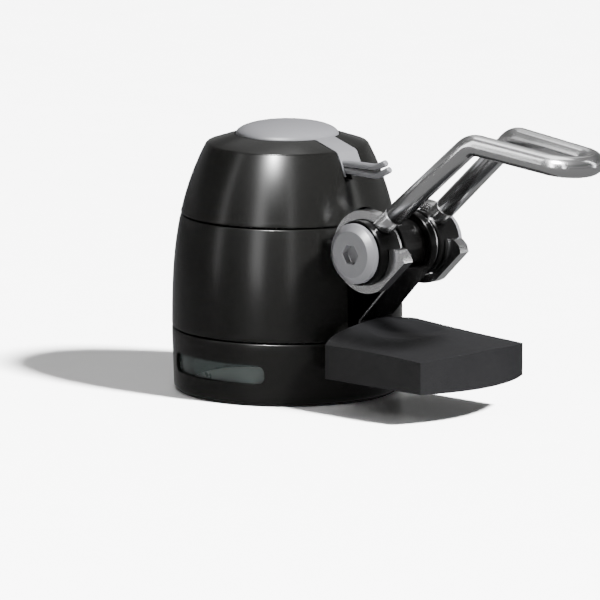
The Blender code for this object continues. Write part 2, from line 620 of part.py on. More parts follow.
def make_drive(looks, body):
    """The dog-leg drive arm on the axle, and the pin at its end."""
    hub = Vector((HUB_X, HUB_Z))

    def polar(length, degrees):
        return hub + Vector((-math.cos(math.radians(degrees)), math.sin(math.radians(degrees)))) * length

    elbow = polar(ELBOW_LENGTH, ELBOW_ANGLE)
    tip = polar(DRIVE_LENGTH, DRIVE_ANGLE)
    arm = ring("drive_arm", 0, 6.0 * MM, -DRIVE_THICKNESS, DRIVE_THICKNESS, looks["steel"], body,
               SMALL_STEPS, tuple(hub), "Y")
    for number, (start, end) in enumerate(((hub, elbow), (elbow, tip))):
        slope = math.degrees(math.atan2(end.y - start.y, end.x - start.x))
        outline = arc(start, DRIVE_HALF_WIDTH, slope + 90, slope + 270, 8)
        outline += arc(end, DRIVE_HALF_WIDTH, slope - 90, slope + 90, 8)
        half = DRIVE_THICKNESS - (0.1 + 0.1 * number) * MM
        unite(arm, prism(f"add_drive_{number}", outline, -half, half, None, body))
    unite(arm, ring("add_drive_eye", 0, 3.6 * MM, -DRIVE_THICKNESS, DRIVE_THICKNESS, None, body,
                    SMALL_STEPS, tuple(tip), "Y"))
    for word, radius, centre in (("pin", PIN_RADIUS, tip), ("hub", AXLE_RADIUS, hub)):
        cut(arm, ring(f"cut_drive_{word}", 0, radius + GAP, -5 * MM, 5 * MM, None, body,
                      SMALL_STEPS, tuple(centre), "Y"))
    ring("drive_pin", 0, PIN_RADIUS, -FORK_OUT - 0.8 * MM, FORK_OUT + 0.8 * MM, looks["steel"], body,
         SMALL_STEPS, tuple(tip), "Y")


def make_carriage(looks, body):
    """The carriage: a disc on the worm's shank, an arm to each rod, and the fork for the drive pin."""
    middle = (CARRIAGE_LOW + CARRIAGE_HIGH) / 2
    carriage = ring("worm_carriage", 0, CARRIAGE_RADIUS, CARRIAGE_LOW, CARRIAGE_HIGH, looks["inner"],
                    body, RING_STEPS)
    end = ROD_Y + 1.0 * MM
    arms = block("add_carriage_arms", (-4.6 * MM, -end, CARRIAGE_LOW + 0.4 * MM),
                 (4.6 * MM, end, CARRIAGE_HIGH - 0.4 * MM), None, body)
    unite(carriage, arms)
    for side, word in ((-1, "right"), (1, "left")):
        y = side * ROD_Y
        eye = ring(f"add_eye_{word}", 0, 5.2 * MM, CARRIAGE_LOW - 0.2 * MM, CARRIAGE_HIGH + 0.2 * MM, None,
                   body, SMALL_STEPS, (0, y))
        low, high = sorted((side * FORK_IN, side * FORK_OUT))
        cheek = block(f"add_fork_{word}", (9 * MM, low, PIN_Z - FORK_HALF_HEIGHT),
                      (FORK_END, high, PIN_Z + FORK_HALF_HEIGHT), None, body)
        unite(carriage, eye, cheek)
        ring(f"carriage_bush_{word}", ROD_RADIUS + 0.25 * MM, 3.4 * MM, CARRIAGE_LOW, CARRIAGE_HIGH,
             looks["bronze"], body, SMALL_STEPS, (0, y))
    for side, word in ((-1, "right"), (1, "left")):
        cut(carriage, ring(f"cut_bush_{word}", 0, 3.4 * MM + GAP, 60 * MM, 90 * MM, None, body, SMALL_STEPS,
                           (0, side * ROD_Y)))
    cut(carriage, block("cut_fork", (15.6 * MM, -10 * MM, PIN_Z - FORK_HALF_GAP),
                        (40 * MM, 10 * MM, PIN_Z + FORK_HALF_GAP), None, body),
        ring("cut_shank", 0, SHANK_RADIUS + GAP, middle - 10 * MM, middle + 10 * MM, None, body,
             SMALL_STEPS))


def make_worm(looks, body):
    """The worm: a right-hand helix with a sharp tip, straight at the top where it turns in the carriage."""
    steps = 9
    turns = (WORM_TOP - WORM_TIP) / WORM_PITCH
    count = int(turns * steps) + 1
    points = []
    radii = []
    phase = pin_phase()
    for i in range(count + 1):
        z = WORM_TIP + (WORM_TOP - WORM_TIP) * i / count
        angle = math.tau * z / WORM_PITCH + phase
        points.append(Vector((WORM_RADIUS * math.cos(angle), WORM_RADIUS * math.sin(angle), z)))
        radii.append(min(1.0, 0.12 + 0.88 * (z - WORM_TIP) / (7 * MM)))
    for i in range(1, 7):
        share = i / 6
        z = WORM_TOP + 4.2 * MM * share
        angle = math.tau * z / WORM_PITCH + phase
        radius = WORM_RADIUS * (1 - share) ** 1.3
        points.append(Vector((radius * math.cos(angle), radius * math.sin(angle), z)))
        radii.append(1.0 + (SHANK_RADIUS / WORM_WIRE - 1) * share ** 2)
    points.append(Vector((0, 0, CARRIAGE_HIGH + 1.6 * MM)))
    radii.append(SHANK_RADIUS / WORM_WIRE)
    rod_curve("worm", points, WORM_WIRE, looks["steel"], body, 2, radii)
    ring("worm_collar", SHANK_RADIUS + GAP, 5.0 * MM, CARRIAGE_LOW - 2.0 * MM, CARRIAGE_LOW - GAP,
         looks["steel"], body, SMALL_STEPS)
    ring("worm_circlip", SHANK_RADIUS + 0.15 * MM, 4.4 * MM, CARRIAGE_HIGH + GAP,
         CARRIAGE_HIGH + 1.0 * MM, looks["steel"], body, SMALL_STEPS)


def pin_phase():
    """Angle that puts the nut's pin, at -Y, midway between two turns."""
    pin_z = (NUT_BOTTOM + NUT_TOP) / 2
    return -math.pi / 2 + math.pi - math.tau * pin_z / WORM_PITCH


def paddle_top(x, y):
    """Height of the paddle's crowned top, with the shallow dish in it."""
    along = (x - PADDLE_BACK) / (PADDLE_END_CENTRE + PADDLE_END_RADIUS - PADDLE_BACK)
    crest = PADDLE_CREST_BACK + (PADDLE_CREST_END - PADDLE_CREST_BACK) * along
    share = min(1.0, abs(y) / PADDLE_HALF_WIDTH)
    side_drop = (3.4 - 0.9 * along) * MM * share ** 1.5
    edge_drop = 2.4 * MM * (1 - along) ** 2 * share ** 10
    spread = math.hypot((x - DISH_X) / DISH_HALF_LENGTH, y / DISH_HALF_WIDTH)
    dish = DISH_DEPTH * max(0.0, 1 - spread ** 2)
    return crest - side_drop - edge_drop - dish


def make_paddle(looks, body):
    """The paddle: flat underneath, crowned on top, with a bulged outer end."""
    columns = 12
    rows = 12
    bm = bmesh.new()
    grids = []
    for top in (False, True):
        grid = []
        for i in range(columns + 1):
            line = []
            for j in range(rows + 1):
                y = PADDLE_HALF_WIDTH * math.sin(math.pi / 2 * (2 * j / rows - 1))
                end = PADDLE_END_CENTRE + math.sqrt(PADDLE_END_RADIUS ** 2 - y ** 2)
                x = PADDLE_BACK + (end - PADDLE_BACK) * i / columns
                line.append(bm.verts.new((x, y, paddle_top(x, y) if top else PADDLE_BOTTOM)))
            grid.append(line)
        grids.append(grid)
    under, over = grids
    for i in range(columns):
        for j in range(rows):
            bm.faces.new((over[i][j], over[i + 1][j], over[i + 1][j + 1], over[i][j + 1]))
            bm.faces.new((under[i][j], under[i][j + 1], under[i + 1][j + 1], under[i + 1][j]))
    for i in range(columns):
        for j in (0, rows):
            bm.faces.new((under[i][j], under[i + 1][j], over[i + 1][j], over[i][j]))
    for j in range(rows):
        for i in (0, columns):
            bm.faces.new((under[i][j], over[i][j], over[i][j + 1], under[i][j + 1]))
    bmesh.ops.dissolve_limit(bm, angle_limit=math.radians(0.2), verts=bm.verts, edges=bm.edges)
    paddle = mesh_object("paddle", bm, looks["paddle"], body)
    across = Matrix.Rotation(math.pi / 2, 4, "Y")
    leaf_back = PADDLE_BACK - GAP - LEAF_THICKNESS
    for number, y in enumerate(PADDLE_SCREWS_Y):
        place = Matrix.Translation((0, y, PADDLE_SCREWS_Z)) @ across
        head = leaf_back + 0.6 * MM
        screw = revolved([(0, leaf_back), (PADDLE_SCREW_HEAD, leaf_back), (PADDLE_SCREW_HEAD, head),
                          (1.2 * MM, head), (1.2 * MM, PADDLE_BACK + 8 * MM),
                          (0, PADDLE_BACK + 8 * MM)], SCREW_STEPS)
        screw.transform(place)
        mesh_object(f"paddle_screw_{number + 1}", screw, looks["steel"], body)
        hole = ring_profile(0, 1.5 * MM, PADDLE_BACK - 1 * MM, PADDLE_BACK + 8.4 * MM)
        drill = revolved(hole, SCREW_STEPS)
        drill.transform(place)
        cut(paddle, mesh_object(f"cut_paddle_{number}", drill, None, body))


def make_leaf(looks, body):
    """The hinge leaf: two knuckles on the axle and the plate that runs down to the paddle's back."""
    slope = math.radians(LEAF_ANGLE)
    down = Vector((-math.cos(slope), -math.sin(slope)))
    outward = Vector((math.sin(slope), -math.cos(slope)))
    hub = Vector((HUB_X, HUB_Z))
    start = hub + outward * (KNUCKLE_RADIUS - 0.2 * MM) - down * 2 * MM
    face = PADDLE_BACK - GAP
    reach = (start.x - face) / math.cos(slope)
    corner = start + down * reach
    inner = -outward * LEAF_THICKNESS
    back = face - LEAF_THICKNESS
    inner_start = start + inner
    inner_corner = inner_start + down * ((inner_start.x - back) / math.cos(slope))
    foot = 13.5 * MM
    outline = [tuple(start), tuple(corner), (face, foot), (back, foot), tuple(inner_corner),
               tuple(inner_start)]
    half = KNUCKLE_OUT - 0.15 * MM
    leaf = prism("hinge_leaf", outline, -half, half, looks["black"], body)
    for side, word in ((-1, "right"), (1, "left")):
        low, high = sorted((side * KNUCKLE_IN, side * KNUCKLE_OUT))
        unite(leaf, ring(f"add_knuckle_{word}", 0, KNUCKLE_RADIUS, low, high, None, body, RING_STEPS,
                         (HUB_X, HUB_Z), "Y"))
    cut(leaf, ring("cut_leaf_bore", 0, AXLE_RADIUS + GAP, -20 * MM, 20 * MM, None, body, SMALL_STEPS,
                   (HUB_X, HUB_Z), "Y"))
    across = Matrix.Rotation(math.pi / 2, 4, "Y")
    for number, y in enumerate(PADDLE_SCREWS_Y):
        drill = revolved([(0, 38 * MM), (PADDLE_SCREW_HEAD + GAP, 38 * MM),
                          (PADDLE_SCREW_HEAD + GAP, back + 0.8 * MM), (1.5 * MM, back + 0.8 * MM),
                          (1.5 * MM, PADDLE_BACK + 2 * MM), (0, PADDLE_BACK + 2 * MM)], SCREW_STEPS)
        drill.transform(Matrix.Translation((0, y, PADDLE_SCREWS_Z)) @ across)
        cut(leaf, mesh_object(f"cut_leaf_{number}", drill, None, body))


def strip_outline():
    """The strip's section in x and z: along the chamfer, over the shoulder and down the side."""
    top = [(DOME_RADIUS - 3 * MM, CAP_HOLE_Z - 0.2 * MM), (CAP_HOLE_RADIUS, CAP_HOLE_Z),
           (SHOULDER_RADIUS - 0.9 * MM, SHOULDER_Z)]
    side = [(radius, z) for radius, z in reversed(barrel_side(STRIP_LOW, SHOULDER_Z - 0.8 * MM, 3))]
    under = [(radius - STRIP_THICKNESS, z) for radius, z in barrel_side(STRIP_LOW, 83 * MM, 3)]
    under_z = CAP_HOLE_Z - 1.7 * MM
    under += [(CAP_HOLE_RADIUS - 1 * MM, under_z), (DOME_RADIUS - 3 * MM, under_z)]
    return top + side + under


def make_cap(looks, body):
    """The release cap: dome, strip with a fang at its -Y corner, prongs, stem and return spring."""
    rise = DOME_TOP - DOME_EDGE_Z
    turns = [math.pi / 2 * i / DOME_STEPS for i in range(DOME_STEPS)]
    crown = [(DOME_RADIUS * math.cos(turn), DOME_EDGE_Z + rise * math.sin(turn)) for turn in turns]
    seat_radius = 6.0 * MM
    seat_top = 89.6 * MM
    profile = [(seat_radius, DOME_UNDER), (DOME_RADIUS, DOME_UNDER)] + crown
    profile += [(0, DOME_TOP), (0, seat_top), (seat_radius, seat_top)]
    cap = mesh_object("release_cap", revolved(profile, BARREL_STEPS), looks["grey"], body)
    unite(cap, prism("add_strip", strip_outline(), -STRIP_HALF_WIDTH, STRIP_HALF_WIDTH, None, body))
    fang = [(radius, z) for radius, z in barrel_side(FANG_LOW, STRIP_LOW + 1 * MM, 3)]
    fang += [(radius - STRIP_THICKNESS, z) for radius, z in
             reversed(barrel_side(FANG_LOW + 0.6 * MM, STRIP_LOW + 1 * MM, 3))]
    unite(cap, prism("add_fang", fang, -STRIP_HALF_WIDTH, -STRIP_HALF_WIDTH + FANG_WIDTH, None, body))
    make_prongs(looks, body)
    ring("cap_stem", 0, STEM_RADIUS, STEM_LOW, seat_top - GAP, looks["steel"], body, SMALL_STEPS)
    coils = 4
    steps = 8
    low = TOP_PLATE_TOP + 0.9 * MM
    high = seat_top - 0.9 * MM
    points = [Vector((4.2 * MM * math.cos(math.tau * i / steps), 4.2 * MM * math.sin(math.tau * i / steps),
                      low + (high - low) * i / (coils * steps))) for i in range(coils * steps + 1)]
    rod_curve("cap_spring", points, 0.45 * MM, looks["steel"], body, 1)


def make_prongs(looks, body):
    """Two round prongs that stand out of the strip, one over the other, with blunt up-turned ends."""
    for word, route in zip(("upper", "lower"), PRONG_ROUTES):
        points = [Vector((x, PRONG_Y, z)) * MM for x, z in route]
        smooth = [points[0]]
        for i in range(1, len(points) - 1):
            smooth += fillet(points[i - 1], points[i], points[i + 1], 3.0 * MM, 3)
        smooth.append(points[-1])
        rod_curve(f"prong_{word}", smooth, PRONG_RADIUS, looks["grey"], body, 3)


def build():
    clear_scene()
    looks = make_looks()
    foot = empty("barrel_foot", (0, 0, 0))
    foot.location = (BARREL_X, 0, 0)
    make_base(looks, foot)
    make_sleeve(looks, foot)
    make_hood(looks, foot)
    make_neck(looks, foot)
    make_frame(looks, foot)
    make_lug(looks, foot)
    lever = empty("lever_pivot", (HUB_X, 0, HUB_Z), foot)
    make_hub(looks, lever)
    make_claws(looks, lever)
    make_bail(looks, lever)
    make_drive(looks, lever)
    leaf = empty("leaf_pivot", (HUB_X, 0, HUB_Z), foot)
    make_leaf(looks, leaf)
    make_paddle(looks, leaf)
    slide = empty("carriage_slide", (0, 0, CARRIAGE_LOW), foot)
    make_carriage(looks, slide)
    make_worm(looks, slide)
    cap = empty("cap_slide", (0, 0, DOME_UNDER), foot)
    make_cap(looks, cap)


build()
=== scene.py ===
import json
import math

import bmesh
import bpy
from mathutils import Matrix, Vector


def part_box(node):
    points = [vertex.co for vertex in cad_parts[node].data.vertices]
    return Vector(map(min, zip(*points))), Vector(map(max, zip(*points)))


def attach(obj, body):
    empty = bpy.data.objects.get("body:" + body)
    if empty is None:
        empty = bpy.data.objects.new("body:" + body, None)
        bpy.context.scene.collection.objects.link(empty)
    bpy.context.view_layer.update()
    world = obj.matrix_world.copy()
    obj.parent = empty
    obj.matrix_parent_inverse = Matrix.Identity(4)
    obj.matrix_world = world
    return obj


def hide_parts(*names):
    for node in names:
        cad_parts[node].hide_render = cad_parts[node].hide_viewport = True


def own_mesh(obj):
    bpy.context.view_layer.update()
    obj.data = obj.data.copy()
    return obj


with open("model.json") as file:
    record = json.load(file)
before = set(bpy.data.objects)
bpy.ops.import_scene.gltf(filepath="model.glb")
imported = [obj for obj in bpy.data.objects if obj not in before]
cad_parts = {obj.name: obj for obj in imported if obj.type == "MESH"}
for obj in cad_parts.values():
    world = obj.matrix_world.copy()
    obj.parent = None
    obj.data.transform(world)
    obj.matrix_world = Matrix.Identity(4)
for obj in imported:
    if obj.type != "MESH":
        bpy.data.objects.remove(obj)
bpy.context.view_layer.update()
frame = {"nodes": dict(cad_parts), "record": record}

# Looks of the lever corkscrew: the barrel's shells, the release cap, the lever's chromed claws and
# bail, the hand rest, and their surfaces.
# Sizes come from the CAD nodes' boxes where a node has them. Outlines are (radius, height), (x, z) or
# (y, z) points, drawn from the middle of the barrel's foot, and finish_piece moves each piece to the
# frame's own place.

MM = 0.001
MERGE = 0.0005 * MM                   # vertices nearer than this are one
FINE = 176                            # sides of the barrel's round shells
ROUND = 96                            # sides of the round pieces on the axle


def low(node, axis):
    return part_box(node)[0][axis]


def high(node, axis):
    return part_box(node)[1][axis]


def centre(node, axis):
    return (low(node, axis) + high(node, axis)) / 2


# The barrel's side: a straight flare up to the widest place, then a curve in to the shoulder.
AXIS_X = centre("base_ring", 0)
WIDEST = (high("base_ring", 0) - low("base_ring", 0)) / 2
FOOT_RADIUS = WIDEST - 0.7 * MM
WIDEST_Z = 20 * MM
SHOULDER_RADIUS = 27.7 * MM
SHOULDER_Z = 85.3 * MM
DRAW_IN = 2.9                         # power of the curve in to the shoulder
WALL = 2.5 * MM
EDGE = 0.5 * MM                       # rounding at the seams between the shells

# The window low on the barrel's side, and the reach of its cut into the shell, along Y.
WINDOW_HALF = 20.6 * MM
WINDOW_LOW = 7.6 * MM
WINDOW_HIGH = 14.3 * MM
WINDOW_CORNER = 2.6 * MM
WINDOW_CUT = (-FOOT_RADIUS - 3 * MM, -25 * MM)
PANE_RADIUS = FOOT_RADIUS - 0.9 * MM

# The round-topped pocket that the axle's lug stands out of.
POCKET_HALF = 10.5 * MM
POCKET_LOW = 24.8 * MM
POCKET_CUT = (25 * MM, 45 * MM)       # reach of its cut, along X
ARCH_TOP = 66.5 * MM

# The release cap: a dome in the hood's top hole, a strip over the shoulder and a fang below it.
CAP_HOLE_RADIUS = 18 * MM
CAP_HOLE_Z = high("upper_hood", 2)
CAP_TOP = high("release_cap", 2)
DOME_RADIUS = CAP_HOLE_RADIUS - 0.3 * MM
DOME_EDGE_Z = 88.4 * MM
DOME_UNDER = 86.6 * MM
SEAT_RADIUS = 6 * MM                  # recess for the spring under the dome
SEAT_Z = 89.6 * MM
STRIP_HALF = 4.8 * MM
STRIP_LOW = 80.6 * MM
STRIP_THICK = 1.7 * MM
FANG_LOW = low("release_cap", 2)
FANG_TIP = -STRIP_HALF + 0.35 * MM
ABOVE = 95 * MM                       # clear above the hood, where a cut may end
SPRING_COILS = 4
SPRING_WIRE = 0.45 * MM

# The lever: the stack on the axle, from the middle out, and one arm of the bail.
HUB_X = centre("axle", 0) - AXIS_X
HUB_Z = centre("axle", 2)
HUB = (HUB_X, HUB_Z)
SIDES = ((-1, "right"), (1, "left"))
AXLE_BORE = 3.8 * MM                  # bore of the pieces that sit on the axle
CLAW_BORE = 11.4 * MM
CLAW_OUTER = 14.2 * MM
CLAW_SPAN = (12.0 * MM, 16.3 * MM)
HOOK_NOSE = ((18.2, -1.8), (17.4, 0.6), (15.6, 2.2), (13.6, 2.6), (11.5, 2.1))    # from the hub, in mm
BAIL_RADIUS = 3.65 * MM
ARM_ROOT = Vector((61.5, 13.1, 67.8)) * MM
ARM_BEND = Vector((94.3, 10.9, 95.95)) * MM
BAIL_END = Vector((126.6, 9.3, 92.6)) * MM
BEND_RADIUS = 8 * MM

# The hand rest: its box, its crest, how far its sides fall, and the shallow dish in its top.
PADDLE_BACK = low("paddle", 0) - AXIS_X
PADDLE_HALF = high("paddle", 1)
PADDLE_LOW = low("paddle", 2)
PADDLE_END = high("paddle", 0) - AXIS_X
CREST_BACK = 28.9 * MM                # height of the top along its middle, at the barrel
CREST_END = 24.4 * MM                 # and at its outer end
SIDE_DROP = 3.4 * MM
SIDE_DROP_EASE = 0.9 * MM             # how much less the sides fall at the outer end
CORNER_DROP = 2.4 * MM
DISH_X = 56 * MM
DISH_LENGTH = 13.5 * MM
DISH_WIDTH = 14.2 * MM
DISH_DEPTH = 1.9 * MM


# ---------------------------------------------------------------- shapes

def finish_piece(name, data, look, body, node=None, bevel=0, segments=3, angle=35):
    """Links a mesh or curve drawn from the barrel's foot, rounds its edges and hangs it on a body."""
    piece = bpy.data.objects.new(name, data)
    bpy.context.scene.collection.objects.link(piece)
    data.transform(Matrix.Translation((AXIS_X, 0, 0)))
    data.materials.append(LOOKS[look])
    if bevel:
        modifier = piece.modifiers.new("edges", "BEVEL")
        modifier.width = bevel
        modifier.segments = segments
        modifier.limit_method = "ANGLE"
        modifier.angle_limit = math.radians(angle)
    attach(piece, body)
    if node:
        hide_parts(node)
    return piece


def mesh_of(name, bm, sharp=30):
    """Mesh of bm, with its normals outward and its edges kept sharp above an angle in degrees."""
    bmesh.ops.remove_doubles(bm, verts=bm.verts, dist=MERGE)
    bmesh.ops.recalc_face_normals(bm, faces=bm.faces)
    mesh = bpy.data.meshes.new(name)
    bm.to_mesh(mesh)
    bm.free()
    mesh.shade_smooth()
    mesh.set_sharp_from_angle(angle=math.radians(sharp))
    return mesh


def spun(profile, steps, place=(0, 0, 0), axis="Z"):
    """A closed outline of (radius, height) points, spun about the axis through place."""
    bm = bmesh.new()
    points = [bm.verts.new((radius, 0, height)) for radius, height in profile]
    edges = [bm.edges.new((points[i - 1], points[i])) for i in range(len(points))]
    bmesh.ops.spin(bm, geom=points + edges, cent=(0, 0, 0), axis=(0, 0, 1),
                   angle=math.tau, steps=steps, use_merge=True)
    bmesh.ops.remove_doubles(bm, verts=bm.verts, dist=MERGE)
    loose = [edge for edge in bm.edges if not edge.link_faces]
    bmesh.ops.delete(bm, geom=loose, context="EDGES")
    if axis == "Y":
        bm.transform(Matrix.Rotation(-math.pi / 2, 4, "X"))
    bm.transform(Matrix.Translation(Vector(place)))
    return bm


def prism(outline, start, end, axis="Y"):
    """An outline extruded from start to end: (x, z) points along Y, or (y, z) points along X."""
    bm = bmesh.new()
    if axis == "Y":
        points = [bm.verts.new((a, start, b)) for a, b in outline]
        way = Vector((0, end - start, 0))
    else:
        points = [bm.verts.new((start, a, b)) for a, b in outline]
        way = Vector((end - start, 0, 0))
    face = bm.faces.new(points)
    grown = bmesh.ops.extrude_face_region(bm, geom=[face])["geom"]
    bmesh.ops.translate(bm, vec=way, verts=[v for v in grown if isinstance(v, bmesh.types.BMVert)])
    return bm


def arc(middle, radius, start, end, steps):
    """Points on an arc between two angles in degrees."""
    turns = [math.radians(start + (end - start) * i / steps) for i in range(steps + 1)]
    return [(middle[0] + radius * math.cos(t), middle[1] + radius * math.sin(t)) for t in turns]


def collar(inner, outer, start, end, edge):
    """Outline of a ring along its axis from start to end, with its outer corners cut back by edge."""
    return [(inner, start), (outer - edge, start), (outer, start + edge), (outer, end - edge),
            (outer - edge, end), (inner, end)]


def span(sign, near, far):
    """The lower and higher Y of a stretch along the axle, on the side that sign names."""
    return sorted((sign * near, sign * far))


def on_side(point, sign):
    """A place or direction given for the left side, on the side that sign names."""
    return Vector((point.x, sign * point.y, point.z))


def apply_boolean(bm, cutter, operation="DIFFERENCE"):
    """The mesh of bm after a Boolean with cutter, both bmeshes drawn from the barrel's foot."""
    collection = bpy.context.scene.collection
    target = bpy.data.objects.new("target", mesh_of("target", bm))
    other = bpy.data.objects.new("other", mesh_of("other", cutter))
    for helper in (target, other):
        collection.objects.link(helper)
    modifier = target.modifiers.new("cut", "BOOLEAN")
    modifier.operation = operation
    modifier.solver = "EXACT"
    modifier.object = other
    bpy.context.view_layer.update()
    graph = bpy.context.evaluated_depsgraph_get()
    made = bmesh.new()
    made.from_mesh(target.evaluated_get(graph).to_mesh())
    for helper in (target, other):
        bpy.data.objects.remove(helper, do_unlink=True)
    return made


def tube(name, points, radius, sides=8):
    """A round rod along (point, share of the radius) pairs, with closed ends, as curve data."""
    data = bpy.data.curves.new(name, "CURVE")
    data.dimensions = "3D"
    data.bevel_depth = radius
    data.bevel_resolution = sides
    data.use_fill_caps = True
    spline = data.splines.new("POLY")
    spline.points.add(len(points) - 1)
    for i, (point, share) in enumerate(points):
        spline.points[i].co = (*point, 1)
        spline.points[i].radius = share
    spline.use_smooth = True
    return data


def fillet(before, corner, after, radius, steps):
    """Points on the arc that rounds a corner between two straight runs."""
    to_before = (before - corner).normalized()
    to_after = (after - corner).normalized()
    half = to_before.angle(to_after) / 2
    middle = corner + (to_before + to_after).normalized() * (radius / math.sin(half))
    reach = radius / math.tan(half)
    first = corner + to_before * reach - middle
    last = corner + to_after * reach - middle
    sweep = first.angle(last)
    return [middle + (first * math.sin(sweep * (1 - i / steps)) + last * math.sin(sweep * i / steps))
            / math.sin(sweep) for i in range(steps + 1)]


def barrel_radius(z):
    """Outer radius of the barrel at height z."""
    if z <= WIDEST_Z:
        return FOOT_RADIUS + (WIDEST - FOOT_RADIUS) * z / WIDEST_Z
    share = (z - WIDEST_Z) / (SHOULDER_Z - WIDEST_Z)
    return WIDEST - (WIDEST - SHOULDER_RADIUS) * share ** DRAW_IN


def side(start, end, steps, inset=0.0):
    """Points up the barrel's side from one height to another, set in by a depth."""
    heights = [start + (end - start) * i / steps for i in range(steps + 1)]
    return [(barrel_radius(z) - inset, z) for z in heights]


# ---------------------------------------------------------------- surfaces

MIX_FACTOR, MIX_FIRST, MIX_SECOND, MIX_RESULT = 0, 6, 7, 2    # a Mix node's sockets for colours
CLOUD_LOW, CLOUD_HIGH = 0.3, 0.7      # the range that nearly all of the cloud noise lies in


def node_of(tree, kind, **values):
    """A new node whose values are its inputs' names, or else its own settings."""
    made = tree.nodes.new(kind)
    for key, value in values.items():
        if key in made.inputs:
            made.inputs[key].default_value = value
        else:
            setattr(made, key, value)
    return made


def surface(name, colour, roughness, metallic=0.0, grain=900.0, bump=0.02, spread=0.05, shade=0.12,
            scratches=0.0, specular=0.5, transmission=0.0):
    """Principled look with mottled colour, uneven roughness, fine grain and, if asked, scratches.
    spread is how far the roughness strays to each side, and shade how far the colour does."""
    made = bpy.data.materials.new(name)
    made.use_nodes = True
    tree = made.node_tree
    link = tree.links.new
    shader = tree.nodes["Principled BSDF"]
    shader.inputs["Metallic"].default_value = metallic
    shader.inputs["Specular IOR Level"].default_value = specular
    shader.inputs["Transmission Weight"].default_value = transmission
    where = node_of(tree, "ShaderNodeTexCoord")
    cloud = node_of(tree, "ShaderNodeTexNoise", Scale=38.0, Detail=5.0, Roughness=0.6)
    fine = node_of(tree, "ShaderNodeTexNoise", Scale=grain, Detail=3.0, Roughness=0.55)
    link(where.outputs["Object"], cloud.inputs["Vector"])
    link(where.outputs["Object"], fine.inputs["Vector"])
    tint = node_of(tree, "ShaderNodeMix", data_type="RGBA")
    tint.inputs[MIX_FIRST].default_value = (*[c * (1 - shade) for c in colour], 1)
    tint.inputs[MIX_SECOND].default_value = (*[min(1.0, c * (1 + shade)) for c in colour], 1)
    link(cloud.outputs["Fac"], tint.inputs[MIX_FACTOR])
    link(tint.outputs[MIX_RESULT], shader.inputs["Base Color"])
    rough = node_of(tree, "ShaderNodeMapRange")
    rough.inputs["To Min"].default_value = max(0.02, roughness - spread)
    rough.inputs["To Max"].default_value = min(1.0, roughness + spread)
    rough.inputs["From Min"].default_value = CLOUD_LOW
    rough.inputs["From Max"].default_value = CLOUD_HIGH
    link(cloud.outputs["Fac"], rough.inputs["Value"])
    link(rough.outputs["Result"], shader.inputs["Roughness"])
    relief = node_of(tree, "ShaderNodeBump", Strength=bump, Distance=0.0004)
    link(fine.outputs["Fac"], relief.inputs["Height"])
    last = relief
    if scratches:
        lines = node_of(tree, "ShaderNodeTexWave", Scale=260.0, Distortion=9.0, Detail=4.0)
        lines.inputs["Detail Scale"].default_value = 2.0
        link(where.outputs["Object"], lines.inputs["Vector"])
        scored = node_of(tree, "ShaderNodeBump", Strength=scratches, Distance=0.0002)
        link(lines.outputs["Fac"], scored.inputs["Height"])
        link(relief.outputs["Normal"], scored.inputs["Normal"])
        last = scored
    link(last.outputs["Normal"], shader.inputs["Normal"])
    return made


LOOKS = {
    "gloss_black": surface("black_lacquer", (0.0017, 0.0017, 0.0016), 0.24, bump=0.004, spread=0.015,
                           shade=0.05, specular=0.17),
    "hub_black": surface("black_enamel", (0.0010, 0.0010, 0.0010), 0.22, bump=0.01, specular=0.04),
    "light_grey": surface("satin_grey", (0.038, 0.038, 0.0405), 0.42, bump=0.05, shade=0.05, specular=0.3),
    "chrome": surface("chrome_plate", (0.66, 0.66, 0.665), 0.2, metallic=1.0, grain=300.0, bump=0.02,
                      spread=0.03, shade=0.04, scratches=0.01),
    "charcoal": surface("charcoal_moulding", (0.0027, 0.0027, 0.0029), 0.6, grain=2600.0, bump=0.2,
                        shade=0.18, specular=0.08),
    "dark_moulding": surface("dark_moulding", (0.012, 0.012, 0.013), 0.5, grain=1800.0, bump=0.15,
                             specular=0.3),
    "steel": surface("machined_steel", (0.45, 0.45, 0.46), 0.24, metallic=1.0, grain=700.0, bump=0.05,
                     spread=0.08, shade=0.08, scratches=0.05),
    "rubber": surface("moulded_rubber", (0.006, 0.006, 0.006), 0.78, grain=3200.0, bump=0.35,
                      specular=0.2),
    "window": surface("smoked_window", (0.010, 0.0125, 0.012), 0.12, bump=0.01, shade=0.05,
                      specular=0.2, transmission=0.2),
    # painted view: a lighter grey-green that stands in for the shaded floor seen through the window
    "floor_view_paint": surface("painted_floor_view", (0.013, 0.0165, 0.0155), 0.3, bump=0.01, shade=0.05, specular=0.3),
    "bronze": surface("sintered_bronze", (0.34, 0.22, 0.09), 0.38, metallic=1.0, grain=2400.0, bump=0.25,
                      spread=0.08),
}


# ---------------------------------------------------------------- barrel

def arch_cutter():
    """The round-topped pocket that the axle's lug stands out of, as a block along X."""
    outline = arc((0, ARCH_TOP - POCKET_HALF), POCKET_HALF, 0, 180, 40)
    outline += [(-POCKET_HALF, POCKET_LOW), (POCKET_HALF, POCKET_LOW)]
    return prism(outline, *POCKET_CUT, "X")


def window_outline(grow):
    """The window's round-cornered outline as (x, z) points, grown by a margin on every side."""
    corner = WINDOW_CORNER + grow
    reach = WINDOW_HALF + grow - corner
    top = WINDOW_HIGH + grow - corner
    bottom = WINDOW_LOW - grow + corner
    places = ((reach, top, 0), (-reach, top, 90), (-reach, bottom, 180), (reach, bottom, 270))
    return [point for x, z, start in places for point in arc((x, z), corner, start, start + 90, 10)]


def shell_edge(z, turn):
    """A rounded outer edge of a shell at height z: turn 1 is its top edge, -1 its bottom one."""
    angles = (0, 90) if turn > 0 else (-90, 0)
    return arc((barrel_radius(z) - EDGE, z - turn * EDGE), EDGE, *angles, 4)


